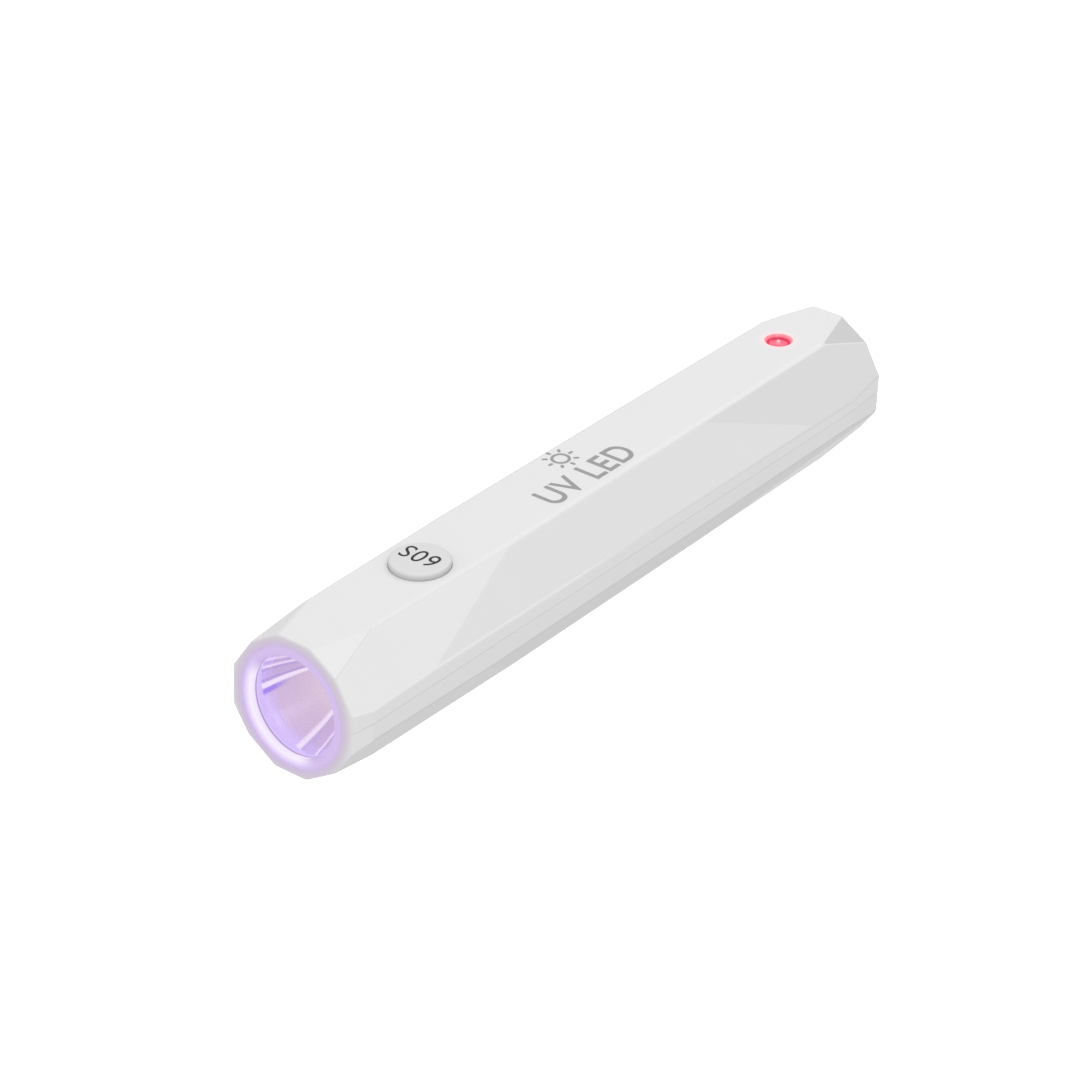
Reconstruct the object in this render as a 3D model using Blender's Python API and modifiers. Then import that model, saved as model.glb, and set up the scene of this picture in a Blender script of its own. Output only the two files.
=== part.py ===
"""Pen-shaped rechargeable UV LED nail lamp, modelled as separate pieces.

X runs along the body with the lens end at -X, Z is up through the button, and the
origin is the middle of the flat underside. Lengths below are in millimetres along the
body from the centre of the lens face, sideways from the axis, and above the axis.
"""
import math

import bmesh
import bpy
from mathutils import Matrix, Vector

MM = 0.001

# Body
BODY_LENGTH = 130.9
HALF_HEIGHT = 10.85
BAND_HALF_WIDTH = 11.9
WALL = 1.6
REAR_WALL = 1.8
GAP = 0.3
FACE_TILT = math.radians(3.9)
NOSE_OVERHANG = HALF_HEIGHT * math.tan(FACE_TILT)
FLAT_EDGE = {"nose": (11.3, 6.15), "front": (41.9, 6.6), "rear": (88.4, 6.4), "tail": (121.9, 6.15)}
UPPER_BAND = {"front": (17.9, 2.45), "rear": (111.1, 1.8)}
LOWER_BAND = {"front": (30.0, 3.3), "rear": (104.0, 3.0)}
RIM_TOP_HALF = 2.95
RIM_CORNER = (8.1, 7.7)
REAR_CORNER = (8.0, 8.05)
LEAD_IN = (4.5, 11.3)
TAIL_OFF = (122.8, 11.2)
LIP = {"thickness": 0.6, "height": 1.2, "start": 6.0}

# Lens end, measured along its own tilted axis
MOUTH_RADIUS = 9.7
MOUTH_DEPTH = 4.8
OPENING_RADIUS = 8.1
RING_FRONT = 0.3
RING_ROLL = 1.2
RING_BACK = 1.8
LENS_FRONT = 2.8
REFLECTOR_FRONT = 4.1
REFLECTOR_BACK = 12.0
REFLECTOR_THROAT = 2.6
STAR_FRONT = 13.5
STAR_RADIUS = 7.8
SINK_FRONT = 16.2
SINK_RADIUS = 5.6
SINK_LENGTH = 4.8

# Button, indicator and charging socket
BUTTON_X = 28.4
BUTTON_RADIUS = 4.95
BUTTON_PROUD = 1.1
BUTTON_ROUNDING = 0.55
BUTTON_TRAVEL = 0.3
INDICATOR_X = 118.1
INDICATOR_RADIUS = 2.35
SOCKET_HEIGHT = 3.55
SOCKET_SIZE = (7.3, 8.94, 3.2)

# Circuit board and cell
BOARD_START = 24.5
BOARD_END = 127.6
BOARD_HALF_WIDTH = 6.6
BOARD_BOTTOM = 5.45
BOARD_THICKNESS = 0.8
BOARD_TOP = BOARD_BOTTOM + BOARD_THICKNESS
SCREW_SPOTS = {"front": 37.6, "rear": 108.0}
SCREW_SIDE = -4.4
CELL_START = 45.0
CELL_LENGTH = 48.5
CELL_RADIUS = 7.0
CELL_HEIGHT = -1.9
LEAD_RADIUS = 0.5

for old in list(bpy.data.objects):
    bpy.data.objects.remove(old, do_unlink=True)
lamp = bpy.data.collections.new("nail_lamp")
cutters = bpy.data.collections.new("cutters")
for group in (lamp, cutters):
    bpy.context.scene.collection.children.link(group)


def at(along, side, up):
    """World place of a point given along, beside and above the body's axis."""
    middle = (BODY_LENGTH - NOSE_OVERHANG) / 2
    return Vector(((along - middle) * MM, side * MM, (up + HALF_HEIGHT) * MM))


def empty(name, place, turn=(0.0, 0.0, 0.0)):
    guide = bpy.data.objects.new(name, None)
    guide.location = place
    guide.rotation_euler = turn
    guide.empty_display_size = 0.005
    lamp.objects.link(guide)
    return guide


head_axis = empty("head_axis", at(0, 0, 0), (0, FACE_TILT - math.pi / 2, 0))
button_axis = empty("button_axis", at(BUTTON_X, 0, HALF_HEIGHT))
indicator_axis = empty("indicator_axis", at(INDICATOR_X, 0, HALF_HEIGHT))


def finish(name, colour, roughness, metallic=0.0, alpha=1.0):
    material = bpy.data.materials.new(name)
    material.use_nodes = True
    shader = material.node_tree.nodes["Principled BSDF"]
    shader.inputs["Base Color"].default_value = (*colour, 1.0)
    shader.inputs["Roughness"].default_value = roughness
    shader.inputs["Metallic"].default_value = metallic
    shader.inputs["Alpha"].default_value = alpha
    return material


def piece(name, mesh, look=None, smooth=False):
    """Link a mesh as a named sub-part, or as a cutter when it has no finish."""
    body = bpy.data.objects.new(name, mesh)
    if look:
        mesh.materials.append(look)
        lamp.objects.link(body)
    else:
        cutters.objects.link(body)
        body.hide_render = True
        body.display_type = "WIRE"
    if smooth:
        mesh.shade_smooth()
        mesh.set_sharp_from_angle(angle=math.radians(35))
    return body


def to_mesh(name, builder):
    mesh = bpy.data.meshes.new(name)
    builder.to_mesh(mesh)
    builder.free()
    return mesh


def box(name, low, high, look=None):
    """A block between two corners given in body millimetres."""
    low, high = at(*low), at(*high)
    builder = bmesh.new()
    bmesh.ops.create_cube(builder, size=1.0)
    bmesh.ops.scale(builder, vec=high - low, verts=builder.verts)
    block = piece(name, to_mesh(name, builder), look)
    block.location = (low + high) / 2
    return block


def cylinder(name, radius, start, end, look=None, parent=None, segments=48):
    """A round bar between two points, in body millimetres or along a parent's Z."""
    if parent is None:
        start, end = at(*start), at(*end)
    else:
        start, end = Vector(start) * MM, Vector(end) * MM
    builder = bmesh.new()
    bmesh.ops.create_cone(builder, cap_ends=True, segments=segments, radius1=radius * MM,
                          radius2=radius * MM, depth=(end - start).length)
    bar = piece(name, to_mesh(name, builder), look, smooth=True)
    bar.rotation_euler = Vector((0, 0, 1)).rotation_difference(end - start).to_euler()
    bar.location = (start + end) / 2
    bar.parent = parent
    return bar


def turned(name, profile, look=None, parent=None, steps=48, ring=False):
    """Turn a profile of (radius, height) points about its local Z axis.

    The points run down the outer side from top to bottom; a ring's profile closes.
    """
    mesh = bpy.data.meshes.new(name)
    points = [(radius * MM, 0.0, height * MM) for radius, height in profile]
    edges = [(i, i + 1) for i in range(len(points) - 1)]
    if ring:
        edges.append((len(points) - 1, 0))
    mesh.from_pydata(points, edges, [])
    body = piece(name, mesh, look)
    body.parent = parent
    screw = body.modifiers.new("turn", "SCREW")
    screw.axis = "Z"
    screw.steps = steps
    screw.render_steps = steps
    screw.use_merge_vertices = True
    screw.merge_threshold = 0.000001
    screw.use_smooth_shade = True
    return body


def boolean(target, tool, operation="DIFFERENCE"):
    modifier = target.modifiers.new(operation.lower() + "_" + tool.name, "BOOLEAN")
    modifier.operation = operation
    modifier.solver = "EXACT"
    modifier.object = tool


def facet(first, second, third, inset):
    """The plane through three corners, facing away from the axis and moved inwards."""
    first, second, third = at(*first), at(*second), at(*third)
    normal = (second - first).cross(third - first).normalized()
    if normal.dot(first - at(BODY_LENGTH / 2, 0, 0)) < 0:
        normal = -normal
    return first - normal * inset * MM, normal


def body_facets(inset):
    """Every long facet of the body: four sides of the upper half and four of the lower."""
    planes = []
    for rise, band in ((1, UPPER_BAND), (-1, LOWER_BAND)):
        flat = HALF_HEIGHT * rise
        planes.append((at(0, 0, flat - inset * rise), Vector((0, 0, rise))))
        for side in (1, -1):
            edge = {spot: (x, side * y, flat) for spot, (x, y) in FLAT_EDGE.items()}
            rib = {spot: (x, side * BAND_HALF_WIDTH, rise * up) for spot, (x, up) in band.items()}
            rim_top = (rise * NOSE_OVERHANG, side * RIM_TOP_HALF, flat)
            rim_corner = (RIM_CORNER[1] * rise * math.tan(FACE_TILT), side * RIM_CORNER[0],
                          rise * RIM_CORNER[1])
            rear_top = (BODY_LENGTH, side * RIM_TOP_HALF, flat)
            rear_corner = (BODY_LENGTH, side * REAR_CORNER[0], rise * REAR_CORNER[1])
            planes.append(facet(rim_top, rim_corner, edge["nose"], inset))
            planes.append(facet(edge["nose"], edge["front"], rib["front"], inset))
            planes.append(facet(edge["front"], edge["rear"], rib["front"], inset))
            planes.append(facet(edge["rear"], edge["tail"], rib["rear"], inset))
            planes.append(facet(edge["tail"], rear_corner, rear_top, inset))
    for side in (1, -1):
        wide = side * BAND_HALF_WIDTH
        planes.append((at(0, wide - side * inset, 0), Vector((0, side, 0))))
        planes.append(facet((0, side * LEAD_IN[1], 0), (LEAD_IN[0], wide, 0), (0, side * LEAD_IN[1], 5), inset))
        planes.append(facet((TAIL_OFF[0], wide, 0), (BODY_LENGTH, side * TAIL_OFF[1], 0),
                            (TAIL_OFF[0], wide, 5), inset))
    return planes


def faceted(name, inset, start, end, bottom, top, look=None, tilted=False):
    """A block trimmed by the body's facets, between two stations and two heights."""
    builder = bmesh.new()
    bmesh.ops.create_cube(builder, size=0.2)
    front = Vector((-1, 0, 0))
    if tilted:
        front = Vector((-math.cos(FACE_TILT), 0, math.sin(FACE_TILT)))
    planes = body_facets(inset)
    planes += [(at(start, 0, 0), front), (at(end, 0, 0), Vector((1, 0, 0)))]
    planes += [(at(0, 0, bottom), Vector((0, 0, -1))), (at(0, 0, top), Vector((0, 0, 1)))]
    for place, normal in planes:
        geometry = builder.verts[:] + builder.edges[:] + builder.faces[:]
        bmesh.ops.bisect_plane(builder, geom=geometry, dist=1e-7, plane_co=place, plane_no=normal,
                               clear_outer=True)
        open_edges = [edge for edge in builder.edges if edge.is_boundary]
        if open_edges:
            bmesh.ops.holes_fill(builder, edges=open_edges, sides=0)
    bmesh.ops.recalc_face_normals(builder, faces=builder.faces)
    return piece(name, to_mesh(name, builder), look)


def slot_block(name, length, width, height, look=None):
    """A flat-sided prism with round ends, lying along X."""
    curve = bpy.data.curves.new(name, "CURVE")
    curve.dimensions = "2D"
    curve.fill_mode = "BOTH"
    curve.extrude = length / 2 * MM
    outline = curve.splines.new("POLY")
    radius = height / 2
    reach = width / 2 - radius
    corners = []
    for side in (1, -1):
        for step in range(7):
            angle = math.radians(-90 + 30 * step) + (0 if side == 1 else math.pi)
            corners.append((side * reach + radius * math.cos(angle), radius * math.sin(angle)))
    outline.points.add(len(corners) - 1)
    for point, (across, up) in zip(outline.points, corners):
        point.co = (across * MM, up * MM, 0.0, 1.0)
    outline.use_cyclic_u = True
    guide = bpy.data.objects.new(name + "_outline", curve)
    cutters.objects.link(guide)
    bpy.context.view_layer.update()
    mesh = bpy.data.meshes.new_from_object(guide.evaluated_get(bpy.context.evaluated_depsgraph_get()))
    bpy.data.objects.remove(guide, do_unlink=True)
    builder = bmesh.new()
    builder.from_mesh(mesh)
    bmesh.ops.remove_doubles(builder, verts=builder.verts, dist=1e-7)
    bmesh.ops.recalc_face_normals(builder, faces=builder.faces)
    stand = Matrix.Rotation(math.radians(90), 4, "Z") @ Matrix.Rotation(math.radians(90), 4, "X")
    bmesh.ops.transform(builder, matrix=stand, verts=builder.verts)
    mesh.materials.clear()
    builder.to_mesh(mesh)
    builder.free()
    return piece(name, mesh, look)


def lead(name, route, look):
    """A soft insulated wire through the route's points."""
    points = [at(*point) for point in route]
    ends = [points[0] * 2 - points[1]] + points + [points[-1] * 2 - points[-2]]
    smooth = []
    for before, first, second, after in zip(ends, ends[1:], ends[2:], ends[3:]):
        for step in range(4):
            t = step / 4
            smooth.append(0.5 * (2 * first + (second - before) * t
                                 + (2 * before - 5 * first + 4 * second - after) * t ** 2
                                 + (3 * first - before - 3 * second + after) * t ** 3))
    smooth.append(points[-1])
    curve = bpy.data.curves.new(name, "CURVE")
    curve.dimensions = "3D"
    curve.bevel_depth = LEAD_RADIUS * MM
    curve.bevel_resolution = 2
    curve.use_fill_caps = True
    spline = curve.splines.new("POLY")
    spline.points.add(len(smooth) - 1)
    for point, place in zip(spline.points, smooth):
        point.co = (*place, 1.0)
    curve.materials.append(look)
    wire = bpy.data.objects.new(name, curve)
    lamp.objects.link(wire)
    return wire


white_shell = finish("white_shell", (0.86, 0.86, 0.86), 0.42)
frosted_ring = finish("frosted_ring", (0.90, 0.84, 0.98), 0.35)
clear_lens = finish("clear_lens", (0.93, 0.90, 1.0), 0.05, alpha=0.3)
dark_seal = finish("dark_seal", (0.10, 0.09, 0.12), 0.7)
mirror_cup = finish("mirror_cup", (0.88, 0.84, 0.93), 0.12, 1.0)
emitter_body = finish("emitter_body", (0.92, 0.92, 0.9), 0.4)
silicone_dome = finish("silicone_dome", (0.75, 0.62, 0.98), 0.05, alpha=0.5)
bare_aluminium = finish("bare_aluminium", (0.75, 0.76, 0.78), 0.35, 1.0)
grey_pad = finish("grey_pad", (0.45, 0.47, 0.5), 0.9)
button_white = finish("button_white", (0.80, 0.80, 0.81), 0.4)
switch_black = finish("switch_black", (0.03, 0.03, 0.03), 0.5)
green_board = finish("green_board", (0.02, 0.16, 0.07), 0.45)
chip_black = finish("chip_black", (0.02, 0.02, 0.022), 0.45)
ferrite = finish("ferrite", (0.10, 0.10, 0.11), 0.6)
capacitor_tan = finish("capacitor_tan", (0.52, 0.38, 0.24), 0.5)
red_light = finish("red_light", (0.85, 0.05, 0.06), 0.3)
steel = finish("steel", (0.62, 0.62, 0.64), 0.3, 1.0)
nickel = finish("nickel", (0.70, 0.68, 0.64), 0.3, 1.0)
cell_wrap = finish("cell_wrap", (0.05, 0.22, 0.50), 0.35)
black_foam = finish("black_foam", (0.05, 0.05, 0.05), 0.95)
red_wire = finish("red_wire", (0.62, 0.03, 0.03), 0.4)
black_wire = finish("black_wire", (0.02, 0.02, 0.02), 0.4)


def make_shells():
    """Two halves that meet at the side band, with a stepped lip behind the joint."""
    half_gap = GAP / 2
    cavity_end = BODY_LENGTH - REAR_WALL
    outside = HALF_HEIGHT + 1
    upper = faceted("upper_shell", 0, 0, BODY_LENGTH, half_gap, outside, white_shell, tilted=True)
    lower = faceted("lower_shell", 0, 0, BODY_LENGTH, -outside, -half_gap, white_shell, tilted=True)
    cavity = faceted("cavity", WALL, MOUTH_DEPTH - 0.6, cavity_end, -outside, outside)
    mouth = cylinder("mouth", MOUTH_RADIUS, (0, 0, 3), (0, 0, -MOUTH_DEPTH), parent=head_axis)

    lip_inset = WALL - LIP["thickness"]
    rebate = faceted("lip_rebate", lip_inset - GAP, LIP["start"] - GAP, cavity_end + LIP["thickness"] + GAP,
                     -1, LIP["height"] + GAP)
    boolean(upper, rebate)
    lip = faceted("lip", lip_inset, LIP["start"], cavity_end + LIP["thickness"], -2, LIP["height"])
    boolean(lower, lip, "UNION")

    rib_inset = WALL / 2
    for name, start, end, top in (("head_rib", 15.4, 16.7, -1.0), ("front_stop", 39.5, 40.8, -1.0),
                                  ("front_cradle", 51.0, 52.5, -4.85), ("rear_cradle", 85.0, 86.5, -4.85),
                                  ("rear_stop", 96.5, 97.8, -1.0)):
        rib = faceted(name, rib_inset, start, end, -outside, top)
        boolean(cavity, rib)
    boolean(upper, cavity)
    boolean(lower, cavity)
    boolean(upper, mouth)
    boolean(lower, mouth)

    sink_room = cylinder("sink_room", 7.2, (0, 0, -14.5), (0, 0, -18), parent=head_axis)
    boolean(lower, sink_room)
    cell_room = cylinder("cell_room", CELL_RADIUS + GAP, (CELL_START, 0, CELL_HEIGHT), (95, 0, CELL_HEIGHT))
    boolean(lower, cell_room)

    for name, along in SCREW_SPOTS.items():
        boss = cylinder("boss_" + name, 2.0, (along, SCREW_SIDE, BOARD_TOP + GAP), (along, SCREW_SIDE, 9.7),
                        segments=24)
        boolean(upper, boss, "UNION")
        thread = cylinder("thread_" + name, 1.1, (along, SCREW_SIDE, 0), (along, SCREW_SIDE, 9.2), segments=24)
        boolean(upper, thread)

    button_hole = cylinder("button_hole", BUTTON_RADIUS + GAP, (BUTTON_X, 0, 8), (BUTTON_X, 0, 13))
    boolean(upper, button_hole)
    indicator_hole = cylinder("indicator_hole", INDICATOR_RADIUS + GAP, (INDICATOR_X, 0, 8),
                              (INDICATOR_X, 0, 13), segments=32)
    boolean(upper, indicator_hole)
    length, width, height = SOCKET_SIZE
    port = slot_block("port_opening", 4, width + 2 * GAP, height + 2 * GAP)
    port.location = at(BODY_LENGTH, 0, SOCKET_HEIGHT)
    boolean(upper, port)


def make_head():
    """Ring, seal, window, reflector, emitter and cooling, all turned on the lens axis."""
    outer = MOUTH_RADIUS - GAP
    roll = []
    for step in range(7):
        angle = math.radians(90 - 15 * step)
        roll.append((OPENING_RADIUS + (outer - OPENING_RADIUS) * (1 - math.sin(angle)),
                     -RING_FRONT - RING_ROLL * (1 - math.cos(angle))))
    turned("head_ring", roll + [(outer, -RING_BACK), (OPENING_RADIUS, -RING_BACK)],
           frosted_ring, head_axis, ring=True)

    rim = outer - 0.1
    turned("lens_seal", [(8.5, -2.1), (rim, -2.1), (rim, -2.5), (8.5, -2.5)], dark_seal, head_axis, ring=True)
    crown = [(8.0 * step / 6, -LENS_FRONT + 0.5 * (1 - (step / 6) ** 2)) for step in range(7)]
    turned("front_lens", crown + [(rim, -LENS_FRONT), (rim, -LENS_FRONT - 1), (0, -LENS_FRONT - 1)],
           clear_lens, head_axis)

    depth = REFLECTOR_BACK - REFLECTOR_FRONT
    mouth = 8.4
    bowl = []
    for step in range(7):
        along = depth * step / 6
        spread = mouth ** 2 - REFLECTOR_THROAT ** 2
        bowl.append((math.sqrt(REFLECTOR_THROAT ** 2 + spread * step / 6), -REFLECTOR_BACK + along))
    outside = [(rim, -REFLECTOR_FRONT), (rim, -MOUTH_DEPTH + 0.1), (8.4, -MOUTH_DEPTH + 0.1),
               (8.4, -6.4), (7.3, -9.0), (5.2, -REFLECTOR_BACK)]
    turned("reflector", outside + bowl, mirror_cup, head_axis, ring=True)

    dome = [(1.35 * math.sin(math.radians(15 * step)), -REFLECTOR_BACK + 1.35 * math.cos(math.radians(15 * step)))
            for step in range(7)]
    turned("emitter_dome", dome + [(0, -REFLECTOR_BACK)], silicone_dome, head_axis, steps=16)
    package = box("emitter_package", (0, 0, 0), (0.9, 3.5, 3.5), emitter_body)
    package.parent = head_axis
    package.location = (0, 0, -12.75 * MM)
    package.rotation_euler = (0, math.radians(90), 0)
    cylinder("star_board", STAR_RADIUS, (0, 0, -STAR_FRONT), (0, 0, -STAR_FRONT - 1.6), bare_aluminium, head_axis)
    cylinder("thermal_pad", 5.4, (0, 0, -15.4), (0, 0, -15.9), grey_pad, head_axis, segments=32)

    fins = [(0, -SINK_FRONT), (SINK_RADIUS, -SINK_FRONT)]
    for fin in range(3):
        groove = -SINK_FRONT - 1.0 - fin * 1.4
        fins += [(SINK_RADIUS, groove), (SINK_RADIUS - 2, groove), (SINK_RADIUS - 2, groove - 0.7),
                 (SINK_RADIUS, groove - 0.7)]
    fins += [(SINK_RADIUS, -SINK_FRONT - SINK_LENGTH), (0, -SINK_FRONT - SINK_LENGTH)]
    turned("heat_sink", fins, bare_aluminium, head_axis, steps=32)


def make_button():
    """The cap rides down on the switch's plunger; heights are from the body's flat top."""
    ceiling = -WALL - GAP
    rounding = [(BUTTON_RADIUS - BUTTON_ROUNDING * (1 - math.sin(math.radians(15 * step))),
                 BUTTON_PROUD - BUTTON_ROUNDING * (1 - math.cos(math.radians(15 * step)))) for step in range(7)]
    cap_foot = ceiling - 0.7
    cap = turned("button_cap", [(0, BUTTON_PROUD)] + rounding + [(BUTTON_RADIUS, cap_foot), (0, cap_foot)],
                 button_white, button_axis)
    plate = box("cap_plate", (BUTTON_X - 6.4, -4.5, HALF_HEIGHT + cap_foot),
                (BUTTON_X + 6.4, 4.5, HALF_HEIGHT + ceiling))
    boolean(cap, plate, "UNION")

    foot = BOARD_TOP + GAP
    body = box("switch_body", (BUTTON_X - 3, -3, foot), (BUTTON_X + 3, 3, foot + 1.0), switch_black)
    well = cylinder("switch_well", 1.9, (BUTTON_X, 0, foot + 0.2), (BUTTON_X, 0, foot + 3), segments=32)
    boolean(body, well)
    plunger_foot = foot + 0.2 + BUTTON_TRAVEL + 0.05 - HALF_HEIGHT
    cylinder("switch_plunger", 1.6, (0, 0, plunger_foot), (0, 0, cap_foot - GAP), steel, button_axis, segments=32)


def make_indicator():
    """A dished light pipe over a small red emitter; heights are from the flat top."""
    radius = INDICATOR_RADIUS
    dish = [((radius - 0.25) * step / 5, -0.85 + 0.75 * (step / 5) ** 2) for step in range(6)]
    stem = [(radius, -0.1), (radius, -1.9), (3.1, -1.9), (3.1, -2.5), (1.5, -2.5), (1.5, -3.3), (0, -3.3)]
    turned("indicator_lens", dish + stem, red_light, indicator_axis, steps=32)
    foot = BOARD_TOP + GAP
    box("indicator_led", (INDICATOR_X - 1, -0.65, foot), (INDICATOR_X + 1, 0.65, foot + 0.7), red_light)


def make_socket():
    """A charging socket under the board's rear end, open towards the rear."""
    length, width, height = SOCKET_SIZE
    mouth_x = BODY_LENGTH - 0.5
    centre = at(mouth_x - length / 2, 0, SOCKET_HEIGHT)
    shell = slot_block("usb_socket_shell", length, width, height, steel)
    shell.location = centre
    inside = slot_block("socket_inside", length, width - 0.6, height - 0.6)
    inside.location = centre + Vector((0.4 * MM, 0, 0))
    boolean(shell, inside)
    back = mouth_x - length + 0.4 + GAP
    box("usb_socket_tongue", (back, -3.35, SOCKET_HEIGHT - 0.35), (mouth_x - 0.7, 3.35, SOCKET_HEIGHT + 0.35),
        chip_black)


def make_board():
    board = box("main_board", (BOARD_START, -BOARD_HALF_WIDTH, BOARD_BOTTOM),
                (BOARD_END, BOARD_HALF_WIDTH, BOARD_TOP), green_board)
    for name, along in SCREW_SPOTS.items():
        clearance = cylinder("clearance_" + name, 1.15, (along, SCREW_SIDE, 4), (along, SCREW_SIDE, 8), segments=24)
        boolean(board, clearance)
        under = BOARD_BOTTOM - GAP - HALF_HEIGHT
        spot = empty("screw_axis_" + name, at(along, SCREW_SIDE, HALF_HEIGHT))
        profile = [(0, -2.2), (0.8, -2.2), (0.8, under), (1.8, under), (1.8, under - 0.6), (1.3, under - 1.1),
                   (0, under - 1.1)]
        turned("board_screw_" + name, profile, steel, spot, steps=16)
    foot = BOARD_TOP + GAP
    parts = (("driver_transistor", 43.0, 3.0, (3.0, 1.6, 1.0), chip_black),
             ("driver_capacitor", 43.0, -2.6, (3.2, 1.6, 1.2), capacitor_tan),
             ("controller_chip", 50.0, 0.0, (4.9, 3.9, 1.2), chip_black),
             ("driver_inductor", 58.0, 0.0, (4.0, 4.0, 1.7), ferrite),
             ("charger_chip", 98.0, 0.0, (4.9, 3.9, 1.2), chip_black),
             ("charger_capacitor", 104.0, 2.2, (3.2, 1.6, 1.2), capacitor_tan))
    for name, along, side, (length, width, height), look in parts:
        box(name, (along - length / 2, side - width / 2, foot),
            (along + length / 2, side + width / 2, foot + height), look)


def make_cell():
    """A round rechargeable cell in its cradle, with its strip, guard board and end pad."""
    cell_end = CELL_START + CELL_LENGTH
    nose = empty("cell_axis", at(CELL_START, 0, CELL_HEIGHT), (0, -math.pi / 2, 0))
    profile = [(0, 0.8), (2.75, 0.8), (2.75, 0), (CELL_RADIUS - 0.4, 0), (CELL_RADIUS, -0.4),
               (CELL_RADIUS, -CELL_LENGTH + 0.4), (CELL_RADIUS - 0.4, -CELL_LENGTH), (0, -CELL_LENGTH)]
    turned("battery_cell", profile, cell_wrap, nose)
    cylinder("protection_board", 6.4, (cell_end + GAP, 0, CELL_HEIGHT), (cell_end + GAP + 0.8, 0, CELL_HEIGHT),
             green_board)
    front = CELL_START - 0.8 - GAP
    strip = box("cell_strip", (front - 0.3, -1.5, CELL_HEIGHT - 1.5), (front, 7.6, CELL_HEIGHT + 1.5), nickel)
    arm = box("strip_arm", (front - 0.3, 7.3, CELL_HEIGHT - 1.5), (cell_end + 1.1, 7.6, CELL_HEIGHT + 1.5))
    boolean(strip, arm, "UNION")
    pad_end = front - 0.3 - GAP
    cylinder("cell_end_pad", 6.5, (pad_end - 2, 0, CELL_HEIGHT), (pad_end, 0, CELL_HEIGHT), black_foam, segments=32)


def make_leads():
    for side, colour, look in ((1, "red", red_wire), (-1, "black", black_wire)):
        lead("led_lead_" + colour, [(15.9, side * 3.2, 5.5), (18.0, side * 3.2, 5.5), (20.6, side * 3.3, 5.3),
                                    (23.4, side * 3.4, 4.6), (25.6, side * 3.5, 4.5), (28.5, side * 3.5, 4.5)],
             look)
        lead("battery_lead_" + colour, [(94.9, side * 2.2, 1.5), (96.6, side * 2.2, 1.6), (99.0, side * 2.5, 3.0),
                                        (101.2, side * 2.8, 4.3), (103.0, side * 3.0, 4.5),
                                        (105.5, side * 3.0, 4.5)], look)


make_shells()
make_head()
make_button()
make_indicator()
make_socket()
make_board()
make_cell()
make_leads()
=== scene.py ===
import math

import bpy
from mathutils import Matrix, Vector


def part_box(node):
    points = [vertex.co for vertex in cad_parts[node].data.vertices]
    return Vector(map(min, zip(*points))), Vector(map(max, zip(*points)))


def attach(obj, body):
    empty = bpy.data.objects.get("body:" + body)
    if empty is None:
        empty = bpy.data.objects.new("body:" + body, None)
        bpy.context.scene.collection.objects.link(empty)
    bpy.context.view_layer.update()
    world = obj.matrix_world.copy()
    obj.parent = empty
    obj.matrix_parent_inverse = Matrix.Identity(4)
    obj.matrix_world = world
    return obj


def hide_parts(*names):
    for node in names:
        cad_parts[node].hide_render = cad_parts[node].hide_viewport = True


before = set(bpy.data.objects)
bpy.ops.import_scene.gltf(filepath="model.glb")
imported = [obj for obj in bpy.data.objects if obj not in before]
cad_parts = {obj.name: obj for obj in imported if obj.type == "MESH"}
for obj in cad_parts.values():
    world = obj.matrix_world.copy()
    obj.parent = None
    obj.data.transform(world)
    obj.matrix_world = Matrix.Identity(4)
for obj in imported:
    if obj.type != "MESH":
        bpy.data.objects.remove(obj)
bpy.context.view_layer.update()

mm = 0.001


# small modelling helpers

def deselectAll():
    for thing in list(bpy.context.selected_objects):
        thing.select_set(False)
    bpy.context.view_layer.objects.active = None


def pick(piece):
    deselectAll()
    piece.select_set(True)
    bpy.context.view_layer.objects.active = piece


def startEdit(piece, select="SELECT", kind="VERT"):
    pick(piece)
    bpy.ops.object.mode_set(mode="EDIT")
    bpy.ops.mesh.select_mode(type=kind)
    bpy.ops.mesh.select_all(action=select)


def endEdit():
    bpy.ops.object.mode_set(mode="OBJECT")


def selectFaces(piece, wanted):
    startEdit(piece, "DESELECT", "FACE")
    endEdit()
    for face in piece.data.polygons:
        face.select = bool(wanted(face))
    bpy.ops.object.mode_set(mode="EDIT")


def selectEdges(piece, wanted):
    startEdit(piece, "DESELECT", "EDGE")
    endEdit()
    verts = piece.data.vertices
    for edge in piece.data.edges:
        edge.select = bool(wanted(verts[edge.vertices[0]].co, verts[edge.vertices[1]].co))
    bpy.ops.object.mode_set(mode="EDIT")


def applyModifiers(piece):
    pick(piece)
    for modifier in list(piece.modifiers):
        bpy.ops.object.modifier_apply(modifier=modifier.name)


def applyPlace(piece, place=None):
    if place is not None:
        piece.matrix_world = place @ piece.matrix_world
    pick(piece)
    bpy.ops.object.transform_apply(location=True, rotation=True, scale=True)


def tidyMesh(piece, distance=0.000001):
    startEdit(piece)
    bpy.ops.mesh.remove_doubles(threshold=distance)
    bpy.ops.mesh.normals_make_consistent(inside=False)
    endEdit()


def smoothByAngle(piece, angle):
    pick(piece)
    bpy.ops.object.shade_smooth_by_angle(angle=math.radians(angle))


def weightNormals(piece):
    smooth = piece.modifiers.new("weighted normals", "WEIGHTED_NORMAL")
    smooth.weight = 100
    smooth.keep_sharp = True
    applyModifiers(piece)


def boolean(piece, tool, operation="DIFFERENCE", keepTool=False):
    cut = piece.modifiers.new("boolean", "BOOLEAN")
    cut.operation = operation
    cut.solver = "EXACT"
    cut.object = tool
    applyModifiers(piece)
    if not keepTool:
        bpy.data.objects.remove(tool, do_unlink=True)


def makeBlock(name, low, high):
    low, high = Vector(low), Vector(high)
    deselectAll()
    bpy.ops.mesh.primitive_cube_add(size=1, location=(low + high) / 2)
    piece = bpy.context.active_object
    piece.name = name
    piece.scale = high - low
    applyPlace(piece)
    return piece


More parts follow.
